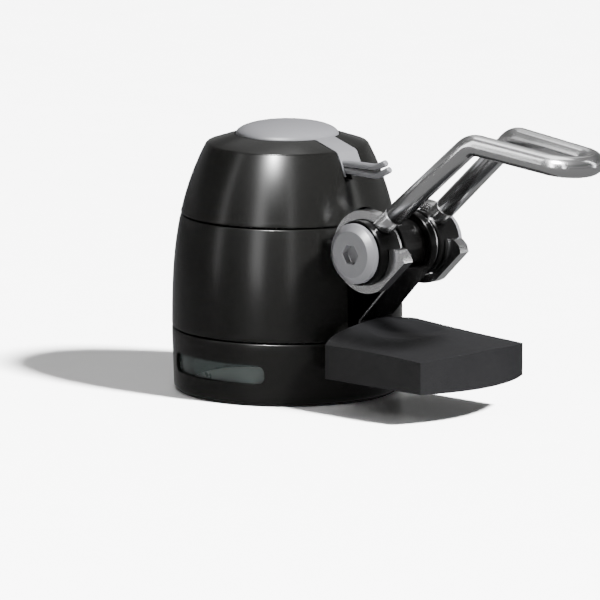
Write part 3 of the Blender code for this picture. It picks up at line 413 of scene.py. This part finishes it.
def make_base():
    """The lowest shell with its window, and the rubber ring that it stands on."""
    top = high("base_ring", 2)
    bottom = low("base_ring", 2)
    inside = FOOT_RADIUS - WALL
    floor = bottom + 2.4 * MM
    hole = 17.9 * MM
    profile = [(hole, bottom)] + shell_edge(bottom, -1) + side(bottom + EDGE, top - EDGE, 10)[1:-1]
    profile += shell_edge(top, 1) + [(inside, top), (inside, floor), (hole, floor)]
    bm = apply_boolean(spun(profile, FINE), prism(window_outline(0), *WINDOW_CUT))
    finish_piece("base_shell", mesh_of("base_shell", bm), "gloss_black", "housing", "base_ring")
    window_pane(inside + 0.2 * MM)
    window_painted_floor_view()
    ring_in = FOOT_RADIUS - 5 * MM
    ring_out = FOOT_RADIUS - 1.2 * MM
    thick = high("foot_ring", 2)
    profile = [(ring_in, 0), (ring_out, 0), (ring_out, thick), (ring_in, thick)]
    finish_piece("rubber_foot", mesh_of("rubber_foot", spun(profile, FINE)), "rubber", "housing",
                 "foot_ring")


def window_pane(inside):
    """The curved pane, a hair smaller than its opening and set in from the shell's face."""
    bottom = WINDOW_LOW - 2 * MM
    top = WINDOW_HIGH + 2 * MM
    pane = spun([(inside, bottom), (PANE_RADIUS, bottom), (PANE_RADIUS, top), (inside, top)], FINE)
    bm = apply_boolean(pane, prism(window_outline(-0.1 * MM), *WINDOW_CUT), "INTERSECT")
    finish_piece("window_pane", mesh_of("window_pane", bm), "window", "housing", "sight_window")


def window_painted_floor_view():
    """Painted view of the shaded floor through the window: a lighter band on the pane, whose top rises
    along the window towards the lever's side.
    """
    back = PANE_RADIUS - 0.6 * MM
    front = PANE_RADIUS + 0.05 * MM
    crest = 13.5 * MM
    crest_at = -63
    fall = 3.68e-6                    # per square degree away from the crest
    bm = bmesh.new()
    rows = []
    for degrees in range(-103, -56):
        turn = math.radians(degrees)
        rise = crest - fall * (degrees - crest_at) ** 2
        corners = ((back, WINDOW_LOW), (back, rise), (front, rise), (front, WINDOW_LOW))
        rows.append([bm.verts.new((r * math.cos(turn), r * math.sin(turn), z)) for r, z in corners])
    for before, after in zip(rows, rows[1:]):
        for i in range(4):
            bm.faces.new((before[i - 1], before[i], after[i], after[i - 1]))
    bm.faces.new(rows[0])
    bm.faces.new(list(reversed(rows[-1])))
    bm = apply_boolean(bm, prism(window_outline(-0.15 * MM), *WINDOW_CUT), "INTERSECT")
    # the band is a painted view of the shaded floor through the window, not a real ledge
    finish_piece("pane_painted_floor_view", mesh_of("pane_painted_floor_view", bm), "floor_view_paint", "housing")


def make_sleeve():
    """The middle shell, with the lower part of the pocket."""
    top = high("middle_sleeve", 2)
    bottom = low("middle_sleeve", 2)
    profile = shell_edge(bottom, -1) + side(bottom + EDGE, top - EDGE, 22)[1:-1] + shell_edge(top, 1)
    profile += [(barrel_radius(top) - WALL, top)]
    profile += list(reversed(side(bottom + 2 * MM, top - 2 * MM, 8, WALL)))
    profile += [(barrel_radius(bottom) - WALL, bottom)]
    bm = apply_boolean(spun(profile, FINE), arch_cutter())
    finish_piece("sleeve_shell", mesh_of("sleeve_shell", bm), "gloss_black", "housing", "middle_sleeve")


def fang_bay():
    """The curve from the fang's point up to the strip's lower edge, as (y, z) points."""
    reach = 5.2 * MM
    flatten = 0.72
    curve = arc((FANG_TIP + reach, FANG_LOW), reach, 176, 112, 14)
    return [(y, FANG_LOW + (z - FANG_LOW) * flatten) for y, z in curve]


def strip_recess():
    """The slot under the strip, with room below it for the prongs and the cap's travel."""
    depth = 3.6 * MM
    inner = 14 * MM
    outer = 45 * MM
    bottom = FANG_LOW - 4 * MM
    floor = [(inner, CAP_HOLE_Z - depth), (CAP_HOLE_RADIUS, CAP_HOLE_Z - depth),
             (SHOULDER_RADIUS - 4.4 * MM, SHOULDER_Z - depth)]
    floor += list(reversed(side(bottom, 81 * MM, 8, depth)))
    section = prism(floor + [(outer, bottom), (outer, ABOVE), (inner, ABOVE)], -9 * MM, 9 * MM)
    drop = 1.7 * MM
    near = -STRIP_HALF - 0.25 * MM
    far = STRIP_HALF + 0.75 * MM
    step = -1.6 * MM
    outline = [(near, ABOVE), (near, FANG_LOW - drop), (step, FANG_LOW - drop + 0.6 * MM),
               (step, STRIP_LOW - drop - 0.2 * MM), (far, STRIP_LOW - drop), (far, ABOVE)]
    return apply_boolean(section, prism(outline, 10 * MM, 50 * MM, "X"), "INTERSECT")


def make_hood():
    """The top shell: its chamfered shoulder, the cap's hole and slot, and the pocket's round top."""
    bottom = low("upper_hood", 2)
    skin = 2 * MM
    shoulder = arc((SHOULDER_RADIUS - EDGE, SHOULDER_Z - EDGE), EDGE, 5, 62, 5)
    profile = shell_edge(bottom, -1) + side(bottom + EDGE, SHOULDER_Z - EDGE, 20)[1:] + shoulder
    profile += [(CAP_HOLE_RADIUS, CAP_HOLE_Z), (CAP_HOLE_RADIUS, CAP_HOLE_Z - skin)]
    profile += [(SHOULDER_RADIUS - 3.4 * MM, SHOULDER_Z - skin)]
    profile += list(reversed(side(bottom, 80 * MM, 8, WALL)))
    bm = apply_boolean(spun(profile, FINE), strip_recess())
    bm = apply_boolean(bm, arch_cutter())
    finish_piece("hood_shell", mesh_of("hood_shell", bm), "gloss_black", "housing", "upper_hood")


# ---------------------------------------------------------------- release cap

def make_cap():
    """Dome and strip in one moulding; the strip's near lower corner runs down into a fang."""
    top = CAP_TOP - 0.6 * MM
    edge = DOME_EDGE_Z - 0.3 * MM
    inner = DOME_RADIUS - 3 * MM
    crown = [(DOME_RADIUS * math.cos(a) ** 0.92, edge + (top - edge) * math.sin(a) ** 0.96)
             for a in (math.pi / 2 * i / 28 for i in range(28))]
    profile = [(SEAT_RADIUS, DOME_UNDER), (DOME_RADIUS, DOME_UNDER)] + crown
    profile += [(0, top), (0, SEAT_Z), (SEAT_RADIUS, SEAT_Z)]
    outline = [(inner, CAP_HOLE_Z - 0.2 * MM), (CAP_HOLE_RADIUS, CAP_HOLE_Z),
               (SHOULDER_RADIUS - 0.5 * MM, SHOULDER_Z)]
    outline += list(reversed(side(FANG_LOW, SHOULDER_Z - 0.6 * MM, 10)))
    outline += side(FANG_LOW, 83 * MM, 8, STRIP_THICK)
    outline += [(CAP_HOLE_RADIUS - MM, CAP_HOLE_Z - STRIP_THICK), (inner, CAP_HOLE_Z - STRIP_THICK)]
    strip = prism(outline, -STRIP_HALF, STRIP_HALF)
    bay = fang_bay() + [(STRIP_HALF + MM, STRIP_LOW), (STRIP_HALF + MM, FANG_LOW - 2 * MM),
                        (FANG_TIP, FANG_LOW - 2 * MM)]
    strip = apply_boolean(strip, prism(bay, 20 * MM, 45 * MM, "X"))
    bm = apply_boolean(spun(profile, FINE), strip, "UNION")
    finish_piece("cap_moulding", mesh_of("cap_moulding", bm, 24), "light_grey", "release", "release_cap")


def make_spring():
    """The steel coil under the cap, drawn at one length, with a mesh of its own."""
    foot = low("cap_spring", 2)
    height = high("cap_spring", 2) - foot
    radius = high("cap_spring", 0) - AXIS_X - SPRING_WIRE
    sides = 12
    steps = SPRING_COILS * 32
    rise = (height - 2 * SPRING_WIRE) / steps
    slope = rise * steps / (math.tau * SPRING_COILS * radius)
    bm = bmesh.new()
    rings = []
    for i in range(steps + 1):
        turn = math.tau * SPRING_COILS * i / steps
        out = Vector((math.cos(turn), math.sin(turn), 0))
        up = out.cross(Vector((-out.y, out.x, slope)).normalized())
        middle = out * radius + Vector((0, 0, foot + SPRING_WIRE + rise * i))
        rings.append([bm.verts.new(middle + (out * math.cos(a) + up * math.sin(a)) * SPRING_WIRE)
                      for a in (math.tau * k / sides for k in range(sides))])
    for first, second in zip(rings, rings[1:]):
        for k in range(sides):
            bm.faces.new((first[k - 1], first[k], second[k], second[k - 1]))
    bm.faces.new(rings[0])
    bm.faces.new(rings[-1])
    piece = finish_piece("spring_wire", mesh_of("spring_wire", bm), "steel", "housing", "cap_spring")
    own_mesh(piece)


def make_prongs():
    """Two bent rods that stand out of the strip. Their routes are (x, z) points in mm."""
    y = -3.1
    radius = 1.15 * MM
    bends = (3 * MM, 7.5 * MM)
    routes = (("upper", ((29.0, 81.2), (33.5, 81.5), (44.3, 81.6), (48.9, 83.6))),
              ("lower", ((29.8, 79.1), (34.5, 78.9), (44.9, 78.7), (50.6, 81.5))))
    for word, route in routes:
        points = [Vector((x, y, z)) * MM for x, z in route]
        line = [points[0]]
        for i, bend in enumerate(bends, 1):
            line += fillet(points[i - 1], points[i], points[i + 1], bend, 10)
        end = points[-1]
        way = (end - points[-2]).normalized()
        shares = [(point, 1.0) for point in line]
        shares += [(end - way * 0.45 * MM, 1.0), (end - way * 0.18 * MM, 0.93), (end, 0.7)]
        finish_piece(f"prong_{word}_rod", tube(f"prong_{word}", shares, radius), "light_grey", "release",
                     f"prong_{word}")


# ---------------------------------------------------------------- hub and lever

def on_axle(profile):
    """A closed outline of (radius, y) points, spun about the axle."""
    return spun(profile, ROUND, (HUB_X, 0, HUB_Z), "Y")


def make_hub():
    """On each side of the axle: the wide cap screw, the black boss and the thin bright washer."""
    for sign, word in SIDES:
        cap_screw(sign, word)
        boss = on_axle(collar(AXLE_BORE, 11.1 * MM, *span(sign, 9.8 * MM, 19.8 * MM), 0.4 * MM))
        finish_piece(f"boss_{word}", mesh_of("boss", boss), "hub_black", "lever", f"hub_boss_{word}")
        outer = high(f"hub_washer_{word}", 2) - HUB_Z
        washer = on_axle(collar(AXLE_BORE, outer, *span(sign, 8.3 * MM, 9.5 * MM), 0.2 * MM))
        finish_piece(f"washer_{word}", mesh_of("washer", washer), "steel", "lever", f"hub_washer_{word}")


def cap_screw(sign, word):
    """Wide button-headed screw with a hexagon socket and softened edges."""
    shank = 2 * MM
    shank_end = 10.5 * MM
    seat = 20.1 * MM
    band = 21.4 * MM
    face = high("end_screw_left", 1)
    radius = high("end_screw_left", 2) - HUB_Z - 0.2 * MM
    flat = 8.1 * MM
    profile = [(0, shank_end), (shank, shank_end), (shank, seat), (radius - 0.3 * MM, seat),
               (radius, seat + 0.3 * MM)]
    profile += arc((radius - 0.9 * MM, band), 0.9 * MM, 0, 40, 6)
    profile += arc((flat - 0.35 * MM, face - 0.5 * MM), 0.5 * MM, 44, 90, 5) + [(0, face)]
    across = 3.6 * MM
    socket = bmesh.new()
    bmesh.ops.create_cone(socket, cap_ends=True, segments=6, radius1=across, radius2=across,
                          depth=5.2 * MM,
                          matrix=Matrix.Translation((0, 0, face)) @ Matrix.Rotation(math.pi / 6, 4, "Z"))
    bm = apply_boolean(spun(profile, ROUND), socket)
    bm.transform(Matrix.Translation((HUB_X, 0, HUB_Z)) @ Matrix.Rotation(sign * -math.pi / 2, 4, "X"))
    finish_piece(f"cap_screw_{word}", mesh_of("cap_screw", bm, 26), "light_grey", "lever",
                 f"end_screw_{word}", bevel=0.18 * MM, segments=2, angle=50)


def claw_outline():
    """A ring that is open towards the bail, with a hooked nose at the end of its lower side."""
    nose = [(HUB_X + x * MM, HUB_Z + z * MM) for x, z in HOOK_NOSE]
    return arc(HUB, CLAW_OUTER, 52, 300, 80) + nose + arc(HUB, CLAW_BORE, -15, -308, 96)


def make_claws():
    """The forged claws, each with a round stub in line with its arm of the bail."""
    along = (ARM_BEND - ARM_ROOT).normalized()
    length = 9 * MM
    for sign, word in SIDES:
        start, end = span(sign, *CLAW_SPAN)
        root = on_side(ARM_ROOT, sign)
        way = on_side(along, sign)
        stub = bmesh.new()
        bmesh.ops.create_cone(stub, cap_ends=True, segments=48, radius1=BAIL_RADIUS, radius2=BAIL_RADIUS,
                              depth=length, matrix=Matrix.Translation(root - way * length / 2)
                              @ way.to_track_quat("Z", "Y").to_matrix().to_4x4())
        bm = apply_boolean(prism(claw_outline(), start, end), stub, "UNION")
        bore = on_axle([(0, start - MM), (CLAW_BORE, start - MM), (CLAW_BORE, end + MM), (0, end + MM)])
        finish_piece(f"claw_{word}_forged", mesh_of("claw", apply_boolean(bm, bore)), "chrome", "lever",
                     f"claw_{word}", bevel=1.1 * MM, segments=5)


def make_bail():
    """The bail's bent rod: up one arm, round the far end and back down the other arm."""
    root, bend, end = (on_side(point, -1) for point in (ARM_ROOT, ARM_BEND, BAIL_END))
    run = (BAIL_END - ARM_BEND).normalized()
    outward = Vector((run.x, 0, run.z)).normalized()
    reach = Vector((0, BAIL_END.y, 0))
    middle = end + reach
    turn = [middle - reach * math.cos(math.pi * i / 40) + outward * BAIL_END.y * math.sin(math.pi * i / 40)
            for i in range(41)]
    line = fillet(root, bend, end, BEND_RADIUS, 18) + turn
    line += list(reversed(fillet(ARM_ROOT, ARM_BEND, BAIL_END, BEND_RADIUS, 18)))
    tip = (bend - root).normalized() * 0.5 * MM
    tip_share = 0.86
    shares = [(root, tip_share), (root + tip, 1.0)] + [(point, 1.0) for point in line]
    shares += [(ARM_ROOT + on_side(tip, -1), 1.0), (ARM_ROOT, tip_share)]
    finish_piece("bail_rod", tube("bail_rod", shares, BAIL_RADIUS, 14), "chrome", "lever", "bail_handle")


def make_lug():
    """The black rims on both sides of the axle lug's eye, between the hinge leaf's knuckles."""
    outer = high("axle_lug", 0) - AXIS_X - HUB_X
    for sign, word in SIDES:
        rim = on_axle(collar(7.5 * MM, outer, *span(sign, 2.45 * MM, 4.8 * MM), 0.3 * MM))
        finish_piece(f"lug_rim_{word}", mesh_of("lug_rim", rim), "hub_black", "housing")


def make_leaf():
    """Hinge leaf: two knuckles on the axle and a bent strap, with bright edges down both sides."""
    slope = math.radians(46)
    down = Vector((-math.cos(slope), -math.sin(slope)))
    outward = Vector((math.sin(slope), -math.cos(slope)))
    thick = 0.65 * MM
    half = 7.95 * MM
    knuckle = 11.35 * MM
    start = Vector(HUB) + outward * (knuckle - 0.15 * MM) - down * 2 * MM
    face = PADDLE_BACK - 0.3 * MM
    corner = start + down * ((start.x - face) / math.cos(slope))
    back = face - thick
    inner = start - outward * thick
    inner_corner = inner + down * ((inner.x - back) / math.cos(slope))
    foot = low("hinge_leaf", 2)
    outline = [tuple(start), tuple(corner), (face, foot), (back, foot), tuple(inner_corner), tuple(inner)]
    bm = prism(outline, -half, half)
    for sign, _ in SIDES:
        ring = on_axle(collar(AXLE_BORE, knuckle, *span(sign, 5.1 * MM, 8.0 * MM), 0.25 * MM))
        bm = apply_boolean(bm, ring, "UNION")
    mesh = mesh_of("leaf", bm)
    finish_piece("leaf_plate", mesh, "hub_black", "hand_rest", "hinge_leaf",
                 bevel=0.12 * MM, segments=2, angle=60)
    mesh.materials.append(LOOKS["steel"])
    for polygon in mesh.polygons:
        at_edge = abs(polygon.center.y) > half - 0.1 * MM and abs(polygon.normal.y) > 0.9
        if at_edge and polygon.center.z < HUB_Z - 8 * MM:
            polygon.material_index = 1


# ---------------------------------------------------------------- hand rest

def paddle_height(x, y):
    """Height of the hand rest's top: a crest that falls outward, rounded sides and a shallow dish."""
    along = (x - PADDLE_BACK) / (PADDLE_END - PADDLE_BACK)
    crest = CREST_BACK + (CREST_END - CREST_BACK) * along
    share = min(1.0, abs(y) / PADDLE_HALF)
    drop = (SIDE_DROP - SIDE_DROP_EASE * along) * share ** 1.5
    drop += CORNER_DROP * (1 - along) ** 2 * share ** 10
    spread = math.hypot((x - DISH_X) / DISH_LENGTH, y / DISH_WIDTH)
    return crest - drop - DISH_DEPTH * max(0.0, 1 - spread ** 2)


def make_paddle():
    """Flat under, crowned and dished on top, with softly rounded edges."""
    columns = 72
    rows = 64
    end_centre = 43 * MM
    end_radius = 49.5 * MM
    bm = bmesh.new()
    grids = []
    for top in (False, True):
        grid = []
        for i in range(columns + 1):
            line = []
            for j in range(rows + 1):
                y = PADDLE_HALF * math.sin(math.pi / 2 * (2 * j / rows - 1))
                end = end_centre + math.sqrt(end_radius ** 2 - y ** 2)
                x = PADDLE_BACK + (end - PADDLE_BACK) * i / columns
                line.append(bm.verts.new((x, y, paddle_height(x, y) if top else PADDLE_LOW)))
            grid.append(line)
        grids.append(grid)
    under, over = grids
    for i in range(columns):
        for j in range(rows):
            bm.faces.new((over[i][j], over[i + 1][j], over[i + 1][j + 1], over[i][j + 1]))
    bm.faces.new([line[0] for line in under] + under[-1][1:] + [line[-1] for line in under[-2::-1]]
                 + under[0][-2:0:-1])
    bm.faces.new([line[0] for line in over] + [line[0] for line in reversed(under)])
    bm.faces.new([line[-1] for line in under] + [line[-1] for line in reversed(over)])
    bm.faces.new(under[0] + list(reversed(over[0])))
    for j in range(rows):
        bm.faces.new((under[-1][j + 1], under[-1][j], over[-1][j], over[-1][j + 1]))
    loose = [vert for vert in bm.verts if not vert.link_faces]
    bmesh.ops.delete(bm, geom=loose, context="VERTS")
    finish_piece("paddle_moulding", mesh_of("paddle_moulding", bm, 40), "charcoal", "hand_rest", "paddle",
                 bevel=0.8 * MM, segments=4, angle=50)


# ---------------------------------------------------------------- carried-over CAD nodes

def dress_nodes():
    """Every CAD node that still shows gets the full surface of its record slot."""
    slots = {entry["node"]: entry["material_slot"] for entry in frame["record"]["subparts"]}
    slots["axle_lug"] = "hub_black"
    for name, obj in frame["nodes"].items():
        obj.data.materials.clear()
        obj.data.materials.append(LOOKS[slots[name]])
        obj.data.shade_smooth()
        obj.data.set_sharp_from_angle(angle=math.radians(32))


# ---------------------------------------------------------------- studio

CAMERA_AZIMUTH = math.radians(43)
CAMERA_ELEVATION = math.radians(10.1)
CAMERA_DISTANCE = 3.0
FRAME_WIDTH = 206.4 * MM
FRAME_MIDDLE = (4.4 * MM, 29.7 * MM)  # of the view, to the right of and above the barrel's foot
RIGHT = Vector((math.cos(CAMERA_AZIMUTH), math.sin(CAMERA_AZIMUTH), 0))
TOWARDS = Vector((math.sin(CAMERA_AZIMUTH), -math.cos(CAMERA_AZIMUTH), 0))
UP = Vector((0, 0, 1))


def make_camera():
    """A long lens far away, for a nearly flat view."""
    view = (TOWARDS * math.cos(CAMERA_ELEVATION) + UP * math.sin(CAMERA_ELEVATION)).normalized()
    rise = view.cross(RIGHT).normalized()
    if rise.z < 0:
        rise = -rise
    target = Vector((AXIS_X, 0, 0)) + RIGHT * FRAME_MIDDLE[0] + rise * FRAME_MIDDLE[1]
    data = bpy.data.cameras.new("camera")
    data.lens = data.sensor_width * CAMERA_DISTANCE / FRAME_WIDTH
    data.clip_end = 40
    camera = bpy.data.objects.new("camera", data)
    bpy.context.scene.collection.objects.link(camera)
    camera.location = target + view * CAMERA_DISTANCE
    camera.rotation_euler = (-view).to_track_quat("-Z", "Y").to_euler()
    bpy.context.scene.camera = camera


def softbox(name, right, towards, up, size, power, aim=(0, 0, 0.05), tall=None):
    """An area light placed by the camera's own right, towards and up, facing the object."""
    data = bpy.data.lights.new(name, "AREA")
    data.shape = "RECTANGLE" if tall else "SQUARE"
    data.size = size
    if tall:
        data.size_y = tall
    data.energy = power
    lamp = bpy.data.objects.new(name, data)
    bpy.context.scene.collection.objects.link(lamp)
    lamp.location = Vector((AXIS_X, 0, 0)) + RIGHT * right + TOWARDS * towards + UP * up
    lamp.rotation_euler = (Vector(aim) - lamp.location).to_track_quat("-Z", "Y").to_euler()
    lamp.visible_camera = False
    return lamp


def make_stage():
    """A pale round floor with a slightly lifted rim. Its profile is (radius, height) in metres."""
    bm = bmesh.new()
    profile = [(0, 0), (1.2, 0), (2.4, 0), (3.2, 0.02), (3.6, 0.08)]
    points = [bm.verts.new((radius, 0, height)) for radius, height in profile]
    edges = [bm.edges.new((points[i], points[i + 1])) for i in range(len(points) - 1)]
    bmesh.ops.spin(bm, geom=points + edges, cent=(0, 0, 0), axis=(0, 0, 1), angle=math.tau, steps=96,
                   use_merge=True)
    bmesh.ops.remove_doubles(bm, verts=bm.verts, dist=0.00001)
    bmesh.ops.recalc_face_normals(bm, faces=bm.faces)
    mesh = bpy.data.meshes.new("studio_floor")
    bm.to_mesh(mesh)
    bm.free()
    mesh.shade_smooth()
    if mesh.polygons[0].normal.z < 0:
        mesh.flip_normals()
    mesh.materials.append(surface("pale_floor", (0.86, 0.86, 0.86), 0.16, grain=200, bump=0.0, spread=0.02,
                                  shade=0.005, specular=0.18))
    floor = bpy.data.objects.new("studio_floor", mesh)
    bpy.context.scene.collection.objects.link(floor)
    floor.visible_glossy = False


def make_world():
    """A grey room with a light band at the horizon, from below to above as (height, grey) stops."""
    stops = ((0.0, 0.36), (0.30, 0.36), (0.43, 0.36), (0.48, 0.14), (0.53, 0.50), (0.60, 0.24),
             (0.72, 0.18), (0.82, 0.34), (1.0, 0.40))
    world = bpy.data.worlds.new("studio")
    bpy.context.scene.world = world
    world.use_nodes = True
    tree = world.node_tree
    link = tree.links.new
    where = node_of(tree, "ShaderNodeTexCoord")
    split = node_of(tree, "ShaderNodeSeparateXYZ")
    height = node_of(tree, "ShaderNodeMapRange")
    height.inputs["From Min"].default_value = -1.0
    ramp = node_of(tree, "ShaderNodeValToRGB")
    while len(ramp.color_ramp.elements) < len(stops):
        ramp.color_ramp.elements.new(0.5)
    for element, (place, grey) in zip(ramp.color_ramp.elements, stops):
        element.position = place
        element.color = (grey, grey, grey, 1)
    background = tree.nodes["Background"]
    background.inputs["Strength"].default_value = 0.8
    link(where.outputs["Generated"], split.inputs["Vector"])
    link(split.outputs["Z"], height.inputs["Value"])
    link(height.outputs["Result"], ramp.inputs["Fac"])
    link(ramp.outputs["Color"], background.inputs["Color"])


def at_angle(turn, distance):
    """Right and towards of a place on the floor, turned from the camera's own side."""
    return distance * math.sin(math.radians(turn)), distance * math.cos(math.radians(turn))


def reflected_strip(name, turn, width, power):
    """A tall thin softbox near the floor that shows only in glossy surfaces."""
    right, towards = at_angle(turn, 0.6)
    lamp = softbox(name, right, towards, 0.36, width, power, (AXIS_X, 0, 0.30), tall=0.7)
    lamp.visible_diffuse = False


def make_lights():
    """Soft boxes for the sheen on lacquer and chrome, and one sun for the shadows on the floor."""
    key = softbox("key", *at_angle(-22, 1.0), up=1.14, size=0.10, power=190)
    key.visible_diffuse = False
    fill = softbox("front_fill", right=-0.5, towards=1.2, up=1.1, size=0.5, power=5)
    fill.visible_glossy = False
    softbox("top", right=-0.2, towards=-0.5, up=2.2, size=1.4, power=20)
    back = softbox("back_panel", right=0.0, towards=-1.3, up=1.35, size=1.0, power=2)
    back.visible_diffuse = False
    reflected_strip("band_left", -30, 0.12, 3.2)
    reflected_strip("band_middle", 4, 0.03, 0.8)
    reflected_strip("band_far_left", -74, 0.05, 0.9)
    reflected_strip("band_right", 87, 0.05, 0.8)
    data = bpy.data.lights.new("window_light", "SUN")
    data.energy = 58
    data.angle = math.radians(7)
    sun = bpy.data.objects.new("window_light", data)
    bpy.context.scene.collection.objects.link(sun)
    way = RIGHT * 0.835 + TOWARDS * 0.55 + UP * 0.98
    sun.rotation_euler = (-way).to_track_quat("-Z", "Y").to_euler()
    sun.visible_glossy = False


dress_nodes()
make_base()
make_sleeve()
make_hood()
make_cap()
make_spring()
make_prongs()
make_hub()
make_claws()
make_bail()
make_lug()
make_leaf()
make_paddle()
make_stage()
make_world()
make_lights()
make_camera()
